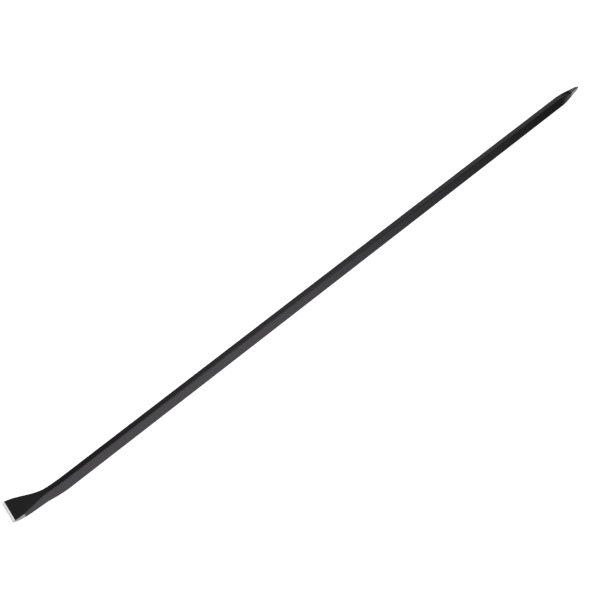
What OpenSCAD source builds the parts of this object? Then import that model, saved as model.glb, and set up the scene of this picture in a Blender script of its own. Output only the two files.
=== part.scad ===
// Digging and pry bar: square bar, flared and set-up chisel at one end, four-sided point at the other.
// Frame: +X runs from the chisel edge to the point, +Z is up, the shank lies flat on z = 0,
// the origin is under the middle of the overall length. Millimetres.

/* [Bar] */
// overall length, cutting edge to point
bar_len = 1524; // [900:1:1900]
// side of the square section
bar_side = 19; // [14:0.5:26]
// leg of the eased corners
corner_ease = 1; // [0.4:0.1:2]

/* [Chisel end] */
// width of the blade at the cutting edge
edge_w = 75; // [40:1:100]
// length over which the square spreads to the full width
flare_len = 75; // [50:1:120]
// angle the blade is set up from the bar
set_angle = 12; // [0:0.5:25]
// angle of the underside of the wedge
under_angle = 23.3; // [15:0.1:32]
// distance from the edge to the middle of the bend on top
bend_at = 75; // [55:1:110]
// half length of the bend on top
bend_half = 34; // [8:1:45]
// distance from the edge to the middle of the heel underneath
heel_at = 73.5; // [55:0.5:110]
// half length of the heel underneath
heel_half = 34; // [8:1:45]
// length ground down to the cutting edge
bevel_len = 5; // [2:0.5:12]
// fall of the ground bevel from the blade's face to the edge
bevel_drop = 2; // [0.5:0.1:3]
// thickness left at the cutting edge
edge_thick = 0.6; // [0.3:0.1:2]
// radius of the blade's two corners, seen from above
edge_round = 5; // [0.5:0.5:10]
// length ground bright along the flanks and underside
bare_len = 22; // [8:1:40]

/* [Point end] */
// length from the plain bar to the tip
point_len = 76; // [50:1:130]
// turn of the four faces against the bar's faces, close to the tip
point_clock = 22; // [0:1:45]
// half thickness of the blunt tip
tip_half = 2.4; // [0.4:0.1:3]
// half angle of the point close to the tip
tip_angle = 6.6; // [4:0.1:14]
// length of the point left bright
bright_len = 32; // [15:1:60]

/* [Hidden] */
// names of the sub-parts, and the one to draw
lacquer = [0.07, 0.07, 0.075];
steel = [0.70, 0.71, 0.72];
half_len = bar_len / 2;
half_side = bar_side / 2;
// where the straight shank stops at the chisel end, measured from the cutting edge
neck_len = max(heel_at + heel_half, bend_at + bend_half, flare_len);
// where the neck hands over to the flat blade, measured from the cutting edge
blade_len = 0.6 * flare_len;
// spacing of the lofted sections
step_x = 2;
// where the shoulder of the point hands over to the taper, measured from the tip
taper_len = (point_len + bright_len) / 2;
// where the straight faces of the point would meet the bar's faces, measured from the tip
point_at = (half_side - tip_half) / tan(tip_angle);
// where the faces start to turn back square with the bar, measured from the tip
turn_from = 0.4 * point_len;

// half width of the chisel end at distance d from the edge, before its corners are rounded
function flare_w(d) = d >= flare_len ? half_side
  : half_side + (edge_w / 2 - half_side) * (1 + cos(180 * d / flare_len)) / 2;
// the same with the corners rounded
function half_w(d) = d >= edge_round ? flare_w(d)
  : flare_w(d) - edge_round + sqrt(pow(edge_round, 2) - pow(edge_round - d, 2));

// rise of a face that is straight, then bent over 2 * half, then straight at the given angle
function bent(d, angle, at, half) = d >= at + half ? 0
  : d <= at - half ? tan(angle) * (at - d)
  : tan(angle) * pow(at + half - d, 2) / (4 * half);

function face_z(d) = bar_side + bent(d, set_angle, bend_at, bend_half);
function wedge_z(d) = bent(d, under_angle, heel_at, heel_half);
// top and underside of the blade, with both sides ground to the edge over the last part
function top_z(d) = d >= bevel_len ? face_z(d)
  : face_z(bevel_len) - bevel_drop * (1 - d / bevel_len);
function under_z(d) = d >= bevel_len ? wedge_z(d)
  : wedge_z(bevel_len) + (top_z(0) - edge_thick - wedge_z(bevel_len)) * (1 - d / bevel_len);

// one eased rectangular section of the chisel end, seen along +X
function section(d) = let (
    x = d - half_len,
    w = half_w(d),
    t = top_z(d),
    u = under_z(d),
    e = min(corner_ease, (t - u) / 3)
  ) [
    [x, e - w, u], [x, w - e, u], [x, w, u + e], [x, w, t - e],
    [x, w - e, t], [x, e - w, t], [x, -w, t - e], [x, -w, u + e]
  ];

// solid through the sections at the distances in list ds, which run from the edge towards the bar
module loft(ds) {
  rings = [for (d = ds) section(d)];
  n = len(rings[0]);
  last = len(rings) - 1;
  polyhedron(
    points = [for (r = rings) for (p = r) p],
    faces = concat(
      [[for (i = [0:n - 1]) i]],
      [[for (i = [n - 1:-1:0]) last * n + i]],
      [for (k = [0:last - 1]) for (i = [0:n - 1])
        [k * n + i, k * n + n + i, k * n + n + (i + 1) % n]],
      [for (k = [0:last - 1]) for (i = [0:n - 1])
        [k * n + i, k * n + n + (i + 1) % n, k * n + (i + 1) % n]]
    )
  );
}

// straight piece of the bar from x0 to x1
module bar_piece(x0, x1) {
  e = corner_ease;
  h = half_side;
  translate([x0, 0, half_side])
    rotate([90, 0, 90])
      linear_extrude(height = x1 - x0)
        polygon([[e - h, -h], [h - e, -h], [h, e - h], [h, h - e],
                 [h - e, h], [e - h, h], [-h, h - e], [-h, e - h]]);
}

// half width of the point between opposite faces, at distance s from the tip
function point_half(s) = half_side - bent(s, tip_angle, point_at, point_len - point_at);
// turn of the faces there, easing off to nothing at the bar
function clock_at(s) = s <= turn_from ? point_clock
  : point_clock * (1 + cos(180 * (s - turn_from) / (point_len - turn_from))) / 2;

// four-sided point between distances s0 and s1 from the tip, turned against the bar
module clocked_point(s0, s1) {
  count = ceil((s1 - s0) / (2 * step_x));
  ss = [for (k = [0:count]) s0 + (s1 - s0) * k / count];
  points = [for (s = ss) for (i = [0:3])
    let (a = clock_at(s) + 45 + 90 * i, r = point_half(s) * sqrt(2))
      [half_len - s, r * cos(a), half_side + r * sin(a)]];
  polyhedron(
    points = points,
    faces = concat(
      [[3, 2, 1, 0]],
      [[for (i = [0:3]) 4 * count + i]],
      [for (k = [0:count - 1]) for (i = [0:3])
        [4 * k + i, 4 * k + (i + 1) % 4, 4 * k + 4 + (i + 1) % 4]],
      [for (k = [0:count - 1]) for (i = [0:3])
        [4 * k + i, 4 * k + 4 + (i + 1) % 4, 4 * k + 4 + i]]
    )
  );
}

// part of the point between distances s0 and s1 from the tip
module point_piece(s0, s1) {
  intersection() {
    bar_piece(half_len - s1, half_len - s0);
    clocked_point(s0, s1);
  }
}

// distances from d0 to d1 in even steps no longer than step
function spaced(d0, d1, step = step_x) = let (count = ceil((d1 - d0) / step))
  [for (k = [0:count]) d0 + (d1 - d0) * k / count];

module shank() {
  color(lacquer) bar_piece(neck_len - half_len, half_len - point_len);
}

module chisel_neck() {
  color(lacquer) loft(spaced(blade_len, neck_len));
}

module chisel_blade() {
  color(lacquer) loft(spaced(bare_len, blade_len));
}

module edge_root() {
  color(lacquer) loft(spaced(bevel_len, bare_len));
}

module cutting_bevel() {
  color(steel) loft(spaced(0, bevel_len, edge_round / 8));
}

module point_shoulder() {
  color(lacquer) point_piece(taper_len, point_len);
}

module point_taper() {
  color(lacquer) point_piece(bright_len, taper_len);
}

module point_tip() {
  color(steel) point_piece(0, bright_len);
}

shank();
chisel_neck();
chisel_blade();
edge_root();
cutting_bevel();
point_shoulder();
point_taper();
point_tip();
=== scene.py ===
"""Digging and pry bar: one square steel bar, forged to a chisel at one end and to a point at the other."""
import math

import bmesh
import bpy
from mathutils import Matrix, Vector, noise


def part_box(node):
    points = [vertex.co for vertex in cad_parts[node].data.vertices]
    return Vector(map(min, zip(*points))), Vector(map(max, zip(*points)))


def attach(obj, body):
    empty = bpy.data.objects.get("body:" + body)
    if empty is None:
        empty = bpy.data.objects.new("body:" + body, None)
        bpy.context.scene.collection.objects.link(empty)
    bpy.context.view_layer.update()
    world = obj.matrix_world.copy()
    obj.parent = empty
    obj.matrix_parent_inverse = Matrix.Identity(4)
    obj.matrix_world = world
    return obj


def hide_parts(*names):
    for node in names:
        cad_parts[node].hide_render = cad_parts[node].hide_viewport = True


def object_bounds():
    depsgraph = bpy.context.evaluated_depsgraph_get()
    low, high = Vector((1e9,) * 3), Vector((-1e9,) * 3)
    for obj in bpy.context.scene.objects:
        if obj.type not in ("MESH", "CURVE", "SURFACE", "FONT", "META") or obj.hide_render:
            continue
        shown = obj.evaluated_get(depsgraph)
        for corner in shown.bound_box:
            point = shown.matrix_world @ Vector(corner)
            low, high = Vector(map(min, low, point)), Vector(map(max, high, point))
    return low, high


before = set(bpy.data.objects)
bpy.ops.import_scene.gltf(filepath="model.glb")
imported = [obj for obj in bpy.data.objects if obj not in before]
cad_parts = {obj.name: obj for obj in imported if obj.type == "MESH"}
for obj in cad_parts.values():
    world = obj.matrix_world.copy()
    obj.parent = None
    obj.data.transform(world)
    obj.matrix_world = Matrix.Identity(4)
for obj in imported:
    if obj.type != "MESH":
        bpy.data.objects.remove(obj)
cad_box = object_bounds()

# ---- Camera ----
# It stands off the chisel end at shoulder height, a little over a metre and a half from the bar,
# and is rolled so that the long bar runs from corner to corner of a square view.
eye = Vector((-0.65263, -1.36195, 0.84410))
to_right = Vector((0.74812, -0.54008, -0.38552))
to_top = Vector((0.57727, 0.24322, 0.77949))
to_back = to_right.cross(to_top)
camera_data = bpy.data.cameras.new("camera")
camera_data.lens = 51.0
camera_data.sensor_width = 36.0
camera_data.shift_x = -0.0008
camera_data.shift_y = 0.0018
camera_data.clip_start = 0.01
camera_data.clip_end = 100.0
camera = bpy.data.objects.new("camera", camera_data)
aim = Matrix((to_right, to_top, to_back)).transposed().to_4x4()
camera.matrix_world = Matrix.Translation(eye) @ aim
bpy.context.collection.objects.link(camera)
bpy.context.scene.camera = camera

# ---- Square shank ----
# The plain length of the bar: hot-rolled square steel with soft corners, left as it came from
# the mill, then dipped in semi-gloss black lacquer with the rest of the forging.
MM = 0.001
SHANK_FROM, SHANK_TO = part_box("shank")[0][0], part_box("shank")[1][0]
HALF_LEN = cad_box[1][0]
BAR_SIDE = 19.0 * MM
CORNER_RADIUS = 1.1 * MM
STEADY_FLAT = 0.5 * MM
CORNER_POINTS = 9
SHANK_STEPS = 68
LACQUER_IOR = 1.6
LACQUER_SHEEN = (1.0, 0.955, 1.03, 1.0)
LACQUER_TINT = (1.0, 0.96, 1.04)
# Where along the bar the painted highlight on the arrises near the chisel fades out.
ARRIS_HIGHLIGHT_FROM, ARRIS_HIGHLIGHT_TO = -0.66, -0.40


class Wire:
    """A node tree's output socket. Arithmetic on it adds Math nodes."""

    def __init__(self, tree, socket=None):
        self.tree = tree
        self.socket = socket

    def node(self, kind, inputs=None, out=0, stops=None, **settings):
        """Adds a node: its settings first, then the values or links of its sockets."""
        made = self.tree.nodes.new(kind)
        for name, value in settings.items():
            setattr(made, name, value)
        for spot, (place, level) in enumerate(stops or []):
            bands = made.color_ramp.elements
            band = bands[spot] if spot < len(bands) else bands.new(place)
            band.position = place
            band.color = (level, level, level, 1.0)
        for name, value in (inputs or {}).items():
            if isinstance(value, Wire):
                self.tree.links.new(value.socket, made.inputs[name])
            else:
                made.inputs[name].default_value = value
        return Wire(self.tree, made.outputs[out])

    def math(self, operation, *others):
        return self.node("ShaderNodeMath", dict(enumerate((self, *others))), operation=operation)

    def __add__(self, other):
        return self.math("ADD", other)

    __radd__ = __add__

    def __mul__(self, other):
        return self.math("MULTIPLY", other)

    __rmul__ = __mul__

    def __sub__(self, other):
        return self.math("SUBTRACT", other)

    def __rsub__(self, other):
        return self.node("ShaderNodeMath", {0: other, 1: self}, operation="SUBTRACT")

    def __truediv__(self, other):
        return self.math("DIVIDE", other)

    def step(self, low, high):
        """Rises smoothly from 0 at low to 1 at high."""
        limits = {"Value": self, "From Min": low, "From Max": high}
        return self.node("ShaderNodeMapRange", limits, interpolation_type="SMOOTHSTEP")


def new_material(name):
    """An empty node material, with a wire to start from and its Principled shader."""
    material = bpy.data.materials.new(name)
    material.use_nodes = True
    tree = material.node_tree
    tree.nodes.clear()
    shader = tree.nodes.new("ShaderNodeBsdfPrincipled")
    out = tree.nodes.new("ShaderNodeOutputMaterial")
    tree.links.new(shader.outputs[0], out.inputs[0])
    return material, Wire(tree), shader


def cloud(wire, place, per_metre, detail=2.0, rough=0.5):
    """Soft noise between 0 and 1, with its size given as a count per metre."""
    inputs = {"Vector": place, "Scale": per_metre, "Detail": detail, "Roughness": rough}
    return wire.node("ShaderNodeTexNoise", inputs)


def stretched(wire, place, along_x, along_y, along_z):
    """The place on the bar with each axis scaled, to draw a pattern out along one of them."""
    scale = {"Vector": place, "Scale": (along_x, along_y, along_z)}
    return wire.node("ShaderNodeMapping", scale)


def lacquer_coat(wire, place):
    """Base shade, roughness and height of semi-gloss black lacquer over rolled or forged steel.

    The lacquer is rubbed thin on the arrises. Near the chisel their shade is raised further still: a
    painted highlight for the line of light along the arris there.
    """
    arris = wire.node("ShaderNodeAttribute", out=2, attribute_name="arris")
    peel = cloud(wire, place, 900.0)
    scale = cloud(wire, stretched(wire, place, 0.45, 1.0, 1.0), 160.0, detail=4.0, rough=0.6)
    sway = cloud(wire, stretched(wire, place, 0.3, 1.0, 1.0), 28.0, detail=3.0)
    dust = cloud(wire, place, 420.0, detail=5.0, rough=0.7).step(0.62, 0.80)
    rubbed = (arris * cloud(wire, place, 110.0, detail=5.0, rough=0.65)).step(0.38, 0.72)
    # Near the chisel end the rubbed arrises are lightened further: painted highlight for the line of light
    # along the arris, not wear.
    painted_arris_highlight = 1 - wire.node("ShaderNodeSeparateXYZ", {0: place}).step(ARRIS_HIGHLIGHT_FROM, ARRIS_HIGHLIGHT_TO)
    shade = 0.0055 + rubbed * (0.016 + painted_arris_highlight * 0.045) + dust * 0.0035 + sway * 0.0015
    rough = 0.25 + (scale - 0.5) * 0.10 + (sway - 0.5) * 0.08 + rubbed * 0.10
    height = peel * 0.000003 + scale * 0.000022 + sway * 0.00016
    return shade, rough, height


def tint(wire, shade, colour):
    """A grey shade laid over a colour."""
    grey = wire.node("ShaderNodeCombineXYZ", {"X": shade, "Y": shade, "Z": shade})
    return wire.node("ShaderNodeVectorMath", {0: grey, 1: colour}, operation="MULTIPLY")


def coat(shader, colour, rough, height):
    """Feeds a shader what changes over the surface: its colour, its roughness and its relief."""
    relief = height.node("ShaderNodeBump", {"Height": height, "Distance": 1.0, "Strength": 1.0})
    for name, value in (("Base Color", colour), ("Roughness", rough), ("Normal", relief)):
        value.tree.links.new(value.socket, shader.inputs[name])


def gloss(shader):
    """Sets how strongly lacquer reflects, the same all over."""
    shader.inputs["IOR"].default_value = LACQUER_IOR
    shader.inputs["Specular Tint"].default_value = LACQUER_SHEEN


lacquer, wire, shader = new_material("semi_gloss_black_lacquer")
place = wire.node("ShaderNodeTexCoord", out="Object")
shade, rough, height = lacquer_coat(wire, place)
coat(shader, tint(wire, shade, LACQUER_TINT), rough, height)
gloss(shader)


def bar_rule(name):
    """Geometry nodes: a soft-cornered square carried along a straight line."""
    tree = bpy.data.node_groups.new(name, "GeometryNodeTree")
    tree.is_modifier = True
    face = tree.interface
    named = {}
    sizes = (("Start", SHANK_FROM), ("Stop", SHANK_TO), ("Side", BAR_SIDE),
             ("Corner radius", CORNER_RADIUS), ("Steady flat", STEADY_FLAT))
    for label, value in sizes:
        named[label] = face.new_socket(label, in_out="INPUT", socket_type="NodeSocketFloat")
        named[label].default_value = value
    for label, value in (("Corner points", CORNER_POINTS), ("Steps", SHANK_STEPS)):
        named[label] = face.new_socket(label, in_out="INPUT", socket_type="NodeSocketInt")
        named[label].default_value = value
    named["Finish"] = face.new_socket("Finish", in_out="INPUT", socket_type="NodeSocketMaterial")
    face.new_socket("Geometry", in_out="OUTPUT", socket_type="NodeSocketGeometry")
    given = tree.nodes.new("NodeGroupInput")
    start = Wire(tree)
    size = {label: Wire(tree, given.outputs[label]) for label in named}

    # Corner points per quarter: the first and the last stand a little way out on the flats,
    # so that the flats stay flat in the light; the others run round the corner.
    count = size["Corner points"]
    turned = start.node("GeometryNodeInputIndex")
    quarter = (turned / count).math("FLOOR")
    inside = turned - quarter * count
    part = ((inside - 1.0) / (count - 3.0)).math("MAXIMUM", 0.0).math("MINIMUM", 1.0)
    angle = (quarter + part) * (math.pi / 2)
    side_angle = quarter * (math.pi / 2)
    flat = size["Side"] * 0.5 - size["Corner radius"]
    ahead = inside.math("GREATER_THAN", count - 1.5) - inside.math("LESS_THAN", 0.5)
    shift = ahead * size["Steady flat"]
    across = (flat * (side_angle.math("COSINE") - side_angle.math("SINE"))
              + size["Corner radius"] * angle.math("COSINE") - shift * angle.math("SINE"))
    up = (flat * (side_angle.math("SINE") + side_angle.math("COSINE"))
          + size["Corner radius"] * angle.math("SINE") + shift * angle.math("COSINE"))
    spot = start.node("ShaderNodeCombineXYZ", {"X": across, "Y": up})
    ring = start.node("GeometryNodeCurvePrimitiveCircle", {"Resolution": count * 4.0, "Radius": 1.0})
    outline = start.node("GeometryNodeSetPosition", {"Geometry": ring, "Position": spot})

    height_up = size["Side"] * 0.5
    from_here = start.node("ShaderNodeCombineXYZ", {"X": size["Start"], "Z": height_up})
    to_there = start.node("ShaderNodeCombineXYZ", {"X": size["Stop"], "Z": height_up})
    line = start.node("GeometryNodeCurvePrimitiveLine", {"Start": from_here, "End": to_there})
    stepped = start.node("GeometryNodeResampleCurve", {"Curve": line, "Count": size["Steps"]})
    swept = start.node("GeometryNodeCurveToMesh",
                       {"Curve": stepped, "Profile Curve": outline, "Fill Caps": True})
    real = start.node("GeometryNodeRealizeInstances", {"Geometry": swept})
    done = start.node("GeometryNodeSetMaterial", {"Geometry": real, "Material": size["Finish"]})
    end = tree.nodes.new("NodeGroupOutput")
    tree.links.new(done.socket, end.inputs[0])
    return tree, named


def weigh(mesh, name, values):
    """Stores one number for each vertex of a mesh."""
    mesh.attributes.new(name, "FLOAT", "POINT").data.foreach_set("value", values)


CLOSE = 1e-6


def shade_smooth(mesh, crisp=()):
    """Smooth faces, with crisp edges round the flat ends and across the bar at each x in crisp."""
    work = bmesh.new()
    work.from_mesh(mesh)
    bmesh.ops.recalc_face_normals(work, faces=work.faces)
    for skin in work.faces:
        skin.smooth = len(skin.verts) < 5
    for seam in work.edges:
        ends = {skin.smooth for skin in seam.link_faces}
        sharp = any(all(abs(point.co.x - x) < CLOSE for point in seam.verts) for x in crisp)
        seam.smooth = len(ends) == 1 and not sharp
    work.to_mesh(mesh)
    work.free()


def seat(name, mesh, node):
    """Puts a finished mesh in the scene as one piece of the bar."""
    piece = bpy.data.objects.new(name, mesh)
    bpy.context.collection.objects.link(piece)
    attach(piece, "root")
    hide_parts(node)


rule, named = bar_rule("square_bar")
holder = bpy.data.objects.new("shank_rule", bpy.data.meshes.new("shank_rule"))
bpy.context.collection.objects.link(holder)
sweep = holder.modifiers.new("bar", "NODES")
sweep.node_group = rule
sweep[named["Finish"].identifier] = lacquer
swept = holder.evaluated_get(bpy.context.evaluated_depsgraph_get())
shank_mesh = bpy.data.meshes.new_from_object(swept)
holder.modifiers.clear()
bpy.data.objects.remove(holder)
shade_smooth(shank_mesh)
flat = BAR_SIDE / 2 - CORNER_RADIUS
corner = []
for point in shank_mesh.vertices:
    out_y = max(abs(point.co.y) - flat, 0.0) / CORNER_RADIUS
    out_z = max(abs(point.co.z - BAR_SIDE / 2) - flat, 0.0) / CORNER_RADIUS
    corner.append(2 * out_y * out_z)
weigh(shank_mesh, "arris", corner)
seat("square_shank", shank_mesh, "shank")

# ---- Drawn-out neck ----
# The bar is heated and spread under a press: the sides flare, the back bends up a little and
# the heel underneath lifts into the wedge. It keeps faint press marks under the lacquer.
# These rules count in millimetres from the cutting edge.
SIDE, EDGE_WIDTH, FLARE_LEN = BAR_SIDE / MM, 75.0, 75.0
BACK_ANGLE, BACK_AT, BACK_HALF = 12.0, 75.0, 34.0
HEEL_ANGLE, HEEL_AT, HEEL_HALF = 23.3, 73.5, 34.0
BEVEL_DROP, EDGE_THICK, EDGE_ROUND = 2.0, 0.6, 5.0
BREAK_AT, BREAK_DROP = 2.4, 0.85
CORNER_BEND, CORNER_HOLD = CORNER_RADIUS / MM, STEADY_FLAT / MM
FLAT_POINTS = (13, 3, 13, 3)
PRESS_DEPTH = 0.16
BELT_EDGE = 0.45


def zone_end(node):
    """Distance from the cutting edge to the far end of a node."""
    return (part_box(node)[1][0] + HALF_LEN) / MM


NECK_END, BLADE_END = zone_end("chisel_neck"), zone_end("chisel_blade")
ROOT_END, BEVEL_LEN = zone_end("edge_root"), zone_end("cutting_bevel")


def half_width(d):
    """Half the width at distance d from the cutting edge."""
    if d >= FLARE_LEN:
        return SIDE / 2
    spread = SIDE / 2 + (EDGE_WIDTH - SIDE) / 2 * (1 + math.cos(math.pi * d / FLARE_LEN)) / 2
    if d >= EDGE_ROUND:
        return spread
    return spread - EDGE_ROUND + math.sqrt(max(EDGE_ROUND ** 2 - (EDGE_ROUND - d) ** 2, 0.0))


def bent(d, angle, at, half):
    """Rise of a straight face, bent over twice half, then straight at its angle."""
    slope = math.tan(math.radians(angle))
    if d >= at + half:
        return 0.0
    if d <= at - half:
        return slope * (at - d)
    return slope * (at + half - d) ** 2 / (4 * half)


def back_height(d):
    """Top of the forging, with the two grinds of the bevel."""
    if d >= BEVEL_LEN:
        return SIDE + bent(d, BACK_ANGLE, BACK_AT, BACK_HALF)
    brow = SIDE + bent(BEVEL_LEN, BACK_ANGLE, BACK_AT, BACK_HALF)
    if d >= BREAK_AT:
        return brow - BREAK_DROP * (BEVEL_LEN - d) / (BEVEL_LEN - BREAK_AT)
    return brow - BREAK_DROP - (BEVEL_DROP - BREAK_DROP) * (BREAK_AT - d) / BREAK_AT


def belly_height(d):
    """Underside of the forging."""
    if d >= BEVEL_LEN:
        return bent(d, HEEL_ANGLE, HEEL_AT, HEEL_HALF)
    root = bent(BEVEL_LEN, HEEL_ANGLE, HEEL_AT, HEEL_HALF)
    return root + (back_height(0.0) - EDGE_THICK - root) * (1 - d / BEVEL_LEN)


def forging_ring(d, marks):
    """One section: place, the way each point faces, and how near the middle of a corner it is."""
    half, top, low = half_width(d), back_height(d), belly_height(d)
    bend = min(CORNER_BEND, (top - low) / 3.2)
    hold = min(CORNER_HOLD, (top - low) / 8)
    corners = []
    for quarter, (way_y, way_z) in enumerate(((1, 1), (-1, 1), (-1, -1), (1, -1))):
        mid_y = way_y * (half - bend)
        mid_z = top - bend if way_z > 0 else low + bend
        round_it = []
        for count in range(CORNER_POINTS):
            part = min(max((count - 1) / (CORNER_POINTS - 3), 0.0), 1.0)
            angle = (quarter + part) * math.pi / 2
            ahead = hold * ((count == CORNER_POINTS - 1) - (count == 0))
            round_it.append((mid_y + bend * math.cos(angle) - ahead * math.sin(angle),
                             mid_z + bend * math.sin(angle) + ahead * math.cos(angle),
                             math.cos(angle), math.sin(angle), math.sin(math.pi * part)))
        corners.append(round_it)
    ring = []
    for quarter, between in enumerate(FLAT_POINTS):
        ring.extend(corners[quarter])
        before, after = corners[quarter][-1], corners[(quarter + 1) % 4][0]
        for count in range(1, between + 1):
            part = count / (between + 1)
            ring.append(tuple(a + (b - a) * part for a, b in zip(before, after)))
    placed = []
    for y, z, face_y, face_z, arris in ring:
        spot = Vector((d, y, z))
        press = 0.5 + 0.35 * noise.noise(spot / 17.0) + 0.15 * noise.noise(spot / 6.0)
        sunk = marks * press
        pressed = Vector((d * MM - HALF_LEN, (y - face_y * sunk) * MM, (z - face_z * sunk) * MM))
        placed.append((pressed, face_z, arris))
    return placed


def press_depth(d):
    """Deepest press mark: none on the rolled shank, fading away again at the ground edge."""
    from_bar = min(max((NECK_END - d) / 25.0, 0.0), 1.0)
    from_edge = min(max((d - 1.0) / 9.0, 0.0), 1.0)
    return PRESS_DEPTH * from_bar * from_edge


def ring_skins(rows, wide):
    """The four-sided faces between rings of points that follow each other."""
    skins = []
    for row in range(rows - 1):
        for column in range(wide):
            beside = (column + 1) % wide
            skins.append((row * wide + column, row * wide + beside,
                          (row + 1) * wide + beside, (row + 1) * wide + column))
    return skins


def loft(name, distances, crisp=()):
    """A closed mesh through the sections at these distances from the edge, with its weights.

    The weight called bare is above nothing where the belt takes the lacquer off: in front of the
    root's end, on the faces that don't look up.
    """
    rings = [forging_ring(d, press_depth(d)) for d in distances]
    wide = len(rings[0])
    points = [spot for ring in rings for spot, up, arris in ring]
    skins = [tuple(range(wide)), tuple(range(len(points) - wide, len(points)))]
    mesh = bpy.data.meshes.new(name)
    mesh.from_pydata(points, [], skins + ring_skins(len(rings), wide))
    shade_smooth(mesh, [d * MM - HALF_LEN for d in crisp])
    weigh(mesh, "arris", [arris for ring in rings for spot, up, arris in ring])
    bare = [min(ROOT_END - d, 6 * (BELT_EDGE - up))
            for d, ring in zip(distances, rings) for spot, up, arris in ring]
    weigh(mesh, "bare", bare)
    return mesh


FORGED_STEP = 0.9


def stations(start, stop, step):
    """Distances from start to stop in even steps."""
    count = math.ceil((stop - start) / step)
    return [start + (stop - start) * spot / count for spot in range(count + 1)]


neck_mesh = loft("drawn_neck", stations(BLADE_END, NECK_END, FORGED_STEP))
neck_mesh.materials.append(lacquer)
seat("drawn_neck", neck_mesh, "chisel_neck")

# ---- Chisel blade ----
# The spread part of the chisel, a wedge that thins towards the edge. It is the same forging,
# pressed flat on its back. It is black all over, but for where the belt strayed at its front end.
blade_mesh = loft("chisel_plate", stations(ROOT_END, BLADE_END, FORGED_STEP))

# ---- Edge root ----
# The last of the blade before the bevel. Its back keeps the lacquer; its flanks and belly are
# cleaned on a belt after dipping, so bare steel shows there up to a ragged line of lacquer.
STEEL_TINT = (1.0, 1.0, 1.01)
BELT_DEPTH = 0.012 * MM
COAT_DEPTH = 0.04 * MM
BELT_ALONG = (90.0, 2400.0, 2400.0)
# The flanks' bare steel is given a darker shade than the tip's and the edge's: painted shade for the
# flanks' dimmer look.
FLANK_SHADED_BRIGHTNESS = 0.31
ROOT_STEP = 0.75


def belt_wander(wire, place):
    """A slow wander of a fraction of a millimetre, so that belt lines aren't ruled."""
    inputs = {"Vector": place, "Scale": 35.0, "Detail": 2.0}
    wander = wire.node("ShaderNodeTexNoise", inputs, out=1)
    return wire.node("ShaderNodeVectorMath", {0: wander, 3: 0.0012}, operation="SCALE")


def steel_finish(wire, place, grain, brightness):
    """Colour, roughness and height of steel left from the belt, with its fine lines."""
    offset = belt_wander(wire, place)
    wandered = wire.node("ShaderNodeVectorMath", {0: place, 1: offset}, operation="ADD")
    lines = cloud(wire, stretched(wire, wandered, *grain), 1.0, detail=3.0, rough=0.6)
    worn = cloud(wire, place, 90.0, detail=4.0)
    shade = brightness * (1.0 + (worn - 0.5) * 0.32 + (lines - 0.5) * 0.20)
    rough = 0.29 + (lines - 0.5) * 0.16 + (worn - 0.5) * 0.10
    return tint(wire, shade, STEEL_TINT), rough, lines * BELT_DEPTH


def ground_through(name, grain, brightness):
    """Black lacquer with bare ground steel where the weight called bare is above nothing."""
    material, wire, shader = new_material(name)
    place = wire.node("ShaderNodeTexCoord", out="Object")
    black_shade, black_rough, black_height = lacquer_coat(wire, place)
    steel, steel_rough, steel_height = steel_finish(wire, place, grain, brightness)
    reach = wire.node("ShaderNodeAttribute", out=2, attribute_name="bare")
    ragged = (cloud(wire, place, 130.0, detail=1.0) - 0.5) * 3.0
    fringe = (cloud(wire, place, 900.0, detail=4.0, rough=0.7) - 0.5) * 1.6
    bare = (reach + ragged + fringe).step(-0.12, 0.12)
    black = tint(wire, black_shade, LACQUER_TINT)
    colour = wire.node("ShaderNodeMix", {0: bare, 6: black, 7: steel}, out=2, data_type="RGBA")
    rough = black_rough + bare * (steel_rough - black_rough)
    height = black_height + bare * (steel_height - black_height) - bare * COAT_DEPTH
    coat(shader, colour, rough, height)
    gloss(shader)
    wire.tree.links.new(bare.socket, shader.inputs["Metallic"])
    return material


flank_finish = ground_through("flank_cleaned_on_belt", BELT_ALONG, FLANK_SHADED_BRIGHTNESS)
# The ragged line wanders a little onto the blade, so the blade shares the finish.
blade_mesh.materials.append(flank_finish)
seat("chisel_plate", blade_mesh, "chisel_blade")
root_mesh = loft("edge_root_forging", stations(BEVEL_LEN, ROOT_END, ROOT_STEP))
root_mesh.materials.append(flank_finish)
seat("edge_root_forging", root_mesh, "edge_root")

# ---- Cutting bevel ----
# The working edge, ground bright last of all: a long first grind, then a steeper second one
# down to an edge a little over half a millimetre thick, with its two corners rounded off.
GRINDER_ALONG = (260.0, 2600.0, 400.0)
EDGE_BRIGHTNESS = 0.55
corner_steps = [EDGE_ROUND * (1 - math.cos(math.radians(turned))) for turned in range(0, 90, 10)]
bevel_steps = sorted(corner_steps + [BREAK_AT, 4.6, BEVEL_LEN])
bevel_mesh = loft("ground_edge", bevel_steps, crisp=[BREAK_AT])
bright, wire, shader = new_material("bright_ground_steel")
place = wire.node("ShaderNodeTexCoord", out="Object")
coat(shader, *steel_finish(wire, place, GRINDER_ALONG, EDGE_BRIGHTNESS))
shader.inputs["Metallic"].default_value = 1.0
bevel_mesh.materials.append(bright)
seat("ground_edge", bevel_mesh, "cutting_bevel")

# ---- Point shoulder ----
# Where the square bar starts to draw down. Its four faces bend in and turn a little against the
# bar's own faces as they go, and they were forged so before the whole bar was lacquered.
POINT_TURN, TIP_HALF, TIP_ANGLE = 22.0, 2.4, 6.6
TIP_ROUND = 13.0
POINT_COLUMNS = 288
POINT_STEP = 0.8
HAMMER_DEPTH = 0.06


def zone_start(node):
    """Distance from the very tip back to the near end of a node, in millimetres."""
    return (HALF_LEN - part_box(node)[0][0]) / MM


POINT_LEN, TAPER_END = zone_start("point_shoulder"), zone_start("point_taper")
BRIGHT_LEN = zone_start("point_tip")
POINT_AT = (SIDE / 2 - TIP_HALF) / math.tan(math.radians(TIP_ANGLE))
TURN_FROM = 0.4 * POINT_LEN


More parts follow.
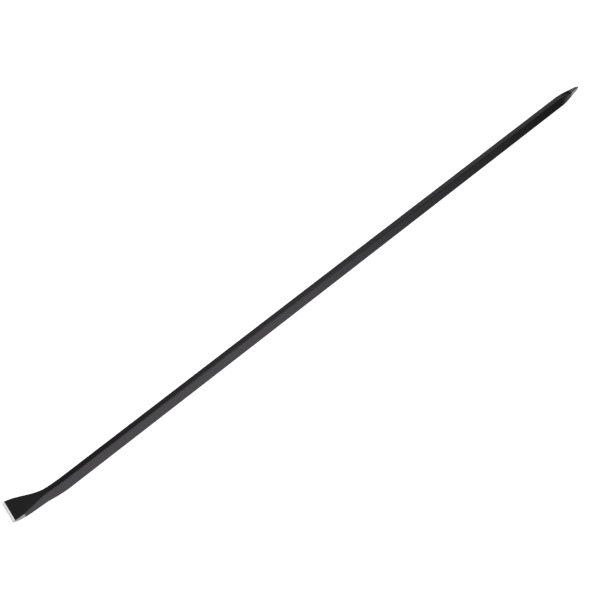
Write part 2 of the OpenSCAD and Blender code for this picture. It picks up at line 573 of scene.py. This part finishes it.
def point_faces(s):
    """Distance of the four faces from the middle line, and how far they are turned."""
    half = SIDE / 2 - bent(s, TIP_ANGLE, POINT_AT, POINT_LEN - POINT_AT)
    easing = max(s - TURN_FROM, 0.0) / (POINT_LEN - TURN_FROM)
    return half, math.radians(POINT_TURN) * (1 + math.cos(math.pi * easing)) / 2


def bar_reach(angle):
    """Distance from the bar's middle line to its soft-cornered surface, and 1 on a corner."""
    near, far = sorted((abs(math.cos(angle)), abs(math.sin(angle))))
    flat = SIDE / 2 - CORNER_BEND
    if near / far * SIDE / 2 <= flat:
        return SIDE / 2 / far, 0.0
    along = flat * (near + far)
    return along + math.sqrt(along ** 2 - 2 * flat ** 2 + CORNER_BEND ** 2), 1.0


def point_ring(s):
    """One section of the point at distance s from its tip: places, and how worn each one is."""
    half, turned = point_faces(s)
    if s < TIP_ROUND:
        half *= math.sqrt(1 - (1 - s / TIP_ROUND) ** 2)
    soft = min(0.28, 0.10 * half + 0.01)
    ring = []
    for column in range(POINT_COLUMNS):
        angle = 2 * math.pi * column / POINT_COLUMNS
        reach, arris = bar_reach(angle)
        walls = []
        for face in range(4):
            lean = math.cos(angle - turned - face * math.pi / 2)
            if lean > 0.3:
                walls.append(half / lean)
        nearest = min(walls)
        shares = [math.exp((nearest - wall) / soft) for wall in walls]
        total = sum(shares)
        out = nearest - soft * math.log(total)
        if out < reach:
            arris = 2 * (1 - sum((share / total) ** 2 for share in shares))
        out = min(out, reach)
        spot = Vector((s, out * math.cos(angle), out * math.sin(angle)))
        faces = min(max((POINT_LEN - s) / 10.0, 0.0), 1.0) * min(out / 6.0, 1.0)
        out -= HAMMER_DEPTH * faces * (0.5 + 0.5 * noise.noise(spot / 5.0))
        across, up = out * MM * math.cos(angle), BAR_SIDE / 2 + out * MM * math.sin(angle)
        ring.append((Vector((HALF_LEN - s * MM, across, up)), arris))
    return ring


def draw_point(name, distances, tipped=False):
    """A closed mesh through the point's sections, ending in one vertex where it is the tip."""
    rings = [point_ring(s) for s in distances]
    wide = len(rings[0])
    points = [spot for ring in rings for spot, arris in ring]
    worn = [arris for ring in rings for spot, arris in ring]
    bare = [BRIGHT_LEN - s for s in distances for column in range(wide)]
    last = len(points) - wide
    skins = [tuple(range(last, len(points)))]
    if tipped:
        points.append(Vector((HALF_LEN, 0.0, BAR_SIDE / 2)))
        worn.append(0.0)
        bare.append(BRIGHT_LEN)
        skins.extend((column, (column + 1) % wide, len(points) - 1) for column in range(wide))
    else:
        skins.append(tuple(range(wide)))
    mesh = bpy.data.meshes.new(name)
    mesh.from_pydata(points, [], skins + ring_skins(len(rings), wide))
    shade_smooth(mesh)
    weigh(mesh, "arris", worn)
    weigh(mesh, "bare", bare)
    return mesh


shoulder_mesh = draw_point("pressed_shoulder", stations(TAPER_END, POINT_LEN, POINT_STEP))
shoulder_mesh.materials.append(lacquer)
seat("pressed_shoulder", shoulder_mesh, "point_shoulder")

# ---- Point taper ----
# The black part of the four-sided point. The lacquer stops in a ragged line at its front end,
# where the belt that brightened the tip ran out.
BELT_ACROSS = (2400.0, 90.0, 90.0)
TIP_BRIGHTNESS = 0.60
tip_finish = ground_through("tip_cleaned_on_belt", BELT_ACROSS, TIP_BRIGHTNESS)
taper_mesh = draw_point("black_taper", stations(BRIGHT_LEN, TAPER_END, POINT_STEP))
taper_mesh.materials.append(tip_finish)
seat("black_taper", taper_mesh, "point_taper")

# ---- Point tip ----
# The last inch or so of the point, belt-ground bright on all four faces after lacquering, with its
# arrises softened and the very tip blunted round.
tip_steps = [TIP_ROUND * (1 - math.cos(math.radians(turned))) for turned in range(6, 90, 6)]
tip_steps += stations(TIP_ROUND, BRIGHT_LEN, POINT_STEP)
tip_mesh = draw_point("bright_tip", tip_steps, tipped=True)
tip_mesh.materials.append(tip_finish)
seat("bright_tip", tip_mesh, "point_tip")

# ---- Floor and light ----
# A plain pale floor that runs past the view on every side, a large soft box overhead, and
# soft cards round the bar whose light shades from end to end along its polished faces.


def plain_card(name, corners):
    """A flat sheet through four corners, kept out of the object."""
    mesh = bpy.data.meshes.new(name)
    mesh.from_pydata(corners, [], [(0, 1, 2, 3)])
    sheet = bpy.data.objects.new(name, mesh)
    bpy.context.collection.objects.link(sheet)
    return sheet


FLOOR_REACH = 30.0
FLOOR_Z = -0.0002
floor = plain_card("floor", [(way_x * FLOOR_REACH, way_y * FLOOR_REACH, FLOOR_Z)
                             for way_x, way_y in ((-1, -1), (1, -1), (1, 1), (-1, 1))])
pale, wire, shader = new_material("pale_floor")
shader.inputs["Base Color"].default_value = (0.85, 0.85, 0.85, 1.0)
shader.inputs["Roughness"].default_value = 0.9
shader.inputs["Specular IOR Level"].default_value = 0.0
shader.inputs["Emission Color"].default_value = (1.0, 1.0, 1.0, 1.0)
shader.inputs["Emission Strength"].default_value = 1.0
floor.data.materials.append(pale)
floor.visible_glossy = False


def glow_card(name, corners, along, stops):
    """A card seen only in reflections, with its brightness given at places along axis 0, 1 or 2."""
    sheet = plain_card(name, corners)
    sheet.visible_camera = False
    sheet.visible_diffuse = False
    sheet.visible_shadow = False
    material = bpy.data.materials.new(name)
    material.use_nodes = True
    tree = material.node_tree
    tree.nodes.clear()
    wire = Wire(tree)
    place = wire.node("ShaderNodeTexCoord", out="Object")
    measure = wire.node("ShaderNodeSeparateXYZ", {0: place}, out=along)
    low, high = stops[0][0], stops[-1][0]
    brightest = max(level for spot, level in stops)
    ramp = wire.node("ShaderNodeValToRGB", {0: (measure - low) / (high - low)},
                     stops=[((spot - low) / (high - low), level / brightest) for spot, level in stops])
    glow = wire.node("ShaderNodeEmission", {"Color": ramp, "Strength": brightest})
    end = tree.nodes.new("ShaderNodeOutputMaterial")
    tree.links.new(glow.socket, end.inputs[0])
    sheet.data.materials.append(material)


# Light from below, thrown back by the paper sweep, fading towards the point.
glow_card("sweep_glow", [(-6.0, -6.0, -0.5), (6.0, -6.0, -0.5), (6.0, 6.0, -0.5), (-6.0, 6.0, -0.5)], 0,
          [(-6.0, 1.22), (0.05, 1.24), (0.40, 0.93), (0.70, 0.54), (0.94, 0.40), (1.20, 0.23),
           (1.36, 0.11), (1.60, 0.04), (6.0, 0.04)])
# A dim wall behind the bar, a little lighter towards the point.
glow_card("back_glow", [(-1.6, 2.0, 0.3), (6.0, 2.0, 0.3), (6.0, 2.0, 2.4), (-1.6, 2.0, 2.4)], 0,
          [(-1.6, 0.05), (-0.9, 0.075), (-0.4, 0.13), (0.0, 0.20), (0.6, 0.26), (1.3, 0.275),
           (1.7, 0.32), (2.1, 0.28), (2.5, 0.26), (6.0, 0.20)])
# A card high over the chisel end, for the line of light along the arris there.
glow_card("arris_glow", [(-1.4, -1.3, 1.2), (-0.1, -1.3, 1.2), (-0.1, -1.3, 2.6), (-1.4, -1.3, 2.6)], 0,
          [(-1.4, 3.5), (-0.72, 3.5), (-0.35, 1.0), (-0.1, 0.0)])
# The soft box's own white front, seen on the faces that look straight up.
glow_card("box_glow", [(-1.2, -1.2, 2.5), (1.2, -1.2, 2.5), (1.2, 1.2, 2.5), (-1.2, 1.2, 2.5)], 0,
          [(-1.2, 1.6), (0.0, 2.0), (1.2, 1.6)])
# A low card that shows in the under-turned faces of the point.
glow_card("point_glow", [(1.0, -0.55, -0.45), (1.9, -0.55, -0.45), (1.9, 0.8, -0.45), (1.0, 0.8, -0.45)], 1,
          [(-0.55, 0.0), (-0.38, 0.40), (-0.1, 0.46), (0.8, 0.46)])
# A bright card past the chisel, which the ground bevel catches.
glow_card("edge_glow", [(-2.0, 1.1, 0.45), (-1.25, 1.65, 0.45), (-1.25, 1.65, 1.35), (-2.0, 1.1, 1.35)], 2,
          [(0.45, 0.7), (0.62, 1.9), (1.35, 2.1)])

box_data = bpy.data.lights.new("soft_box", "AREA")
box_data.shape = "SQUARE"
box_data.size = 2.6
box_data.energy = 14.0
soft_box = bpy.data.objects.new("soft_box", box_data)
soft_box.location = (0.0, 0.0, 2.6)
bpy.context.collection.objects.link(soft_box)

world = bpy.data.worlds.new("studio")
world.use_nodes = True
world.node_tree.nodes.clear()
air = Wire(world.node_tree)
seen = air.node("ShaderNodeLightPath", out=0)
dim = air.node("ShaderNodeBackground", {"Color": (1.0, 1.0, 1.0, 1.0), "Strength": 0.10})
white = air.node("ShaderNodeBackground", {"Color": (1.0, 1.0, 1.0, 1.0), "Strength": 1.2})
around = air.node("ShaderNodeMixShader", {0: seen, 1: dim, 2: white})
sky_end = world.node_tree.nodes.new("ShaderNodeOutputWorld")
world.node_tree.links.new(around.socket, sky_end.inputs[0])
bpy.context.scene.world = world
bpy.context.scene.view_settings.view_transform = "Standard"
